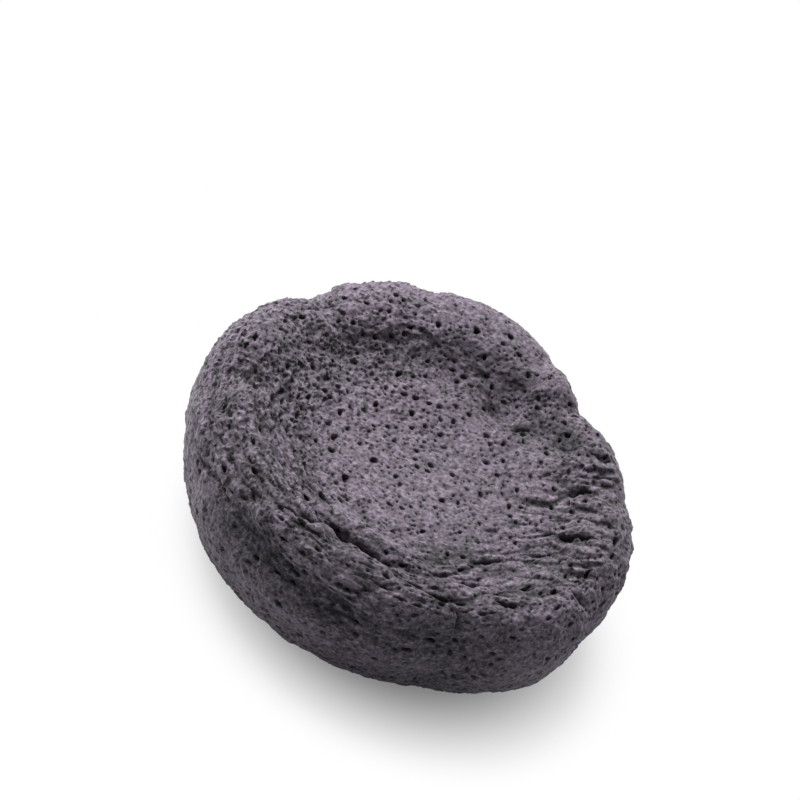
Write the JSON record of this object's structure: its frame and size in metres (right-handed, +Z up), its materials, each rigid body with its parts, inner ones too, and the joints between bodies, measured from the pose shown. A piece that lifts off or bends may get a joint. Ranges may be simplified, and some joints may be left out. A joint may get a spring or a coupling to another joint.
{
  "type": "konjac sponge",
  "caption": "Dry charcoal-grey konjac face sponge: a round puff of moulded open-cell plant foam with a dished face, a puffy folded rim and a rounded underside.",
  "frame": {"origin": "the middle of the flat of the underside, on the surface that the sponge rests on", "axes": "+Z up through the middle of the puff, out of the dished face; -Y towards the side of the rim with the crease, which the picture shows in front; +X to the right of that view"},
  "size_m": [0.0794, 0.0831, 0.0263],
  "materials": {
    "konjac_foam": "matt dry open-cell plant-fibre foam, charcoal grey"
  },
  "bodies": {
    "root": {"sponge_body": "konjac_foam"}
  },
  "joints": []
}
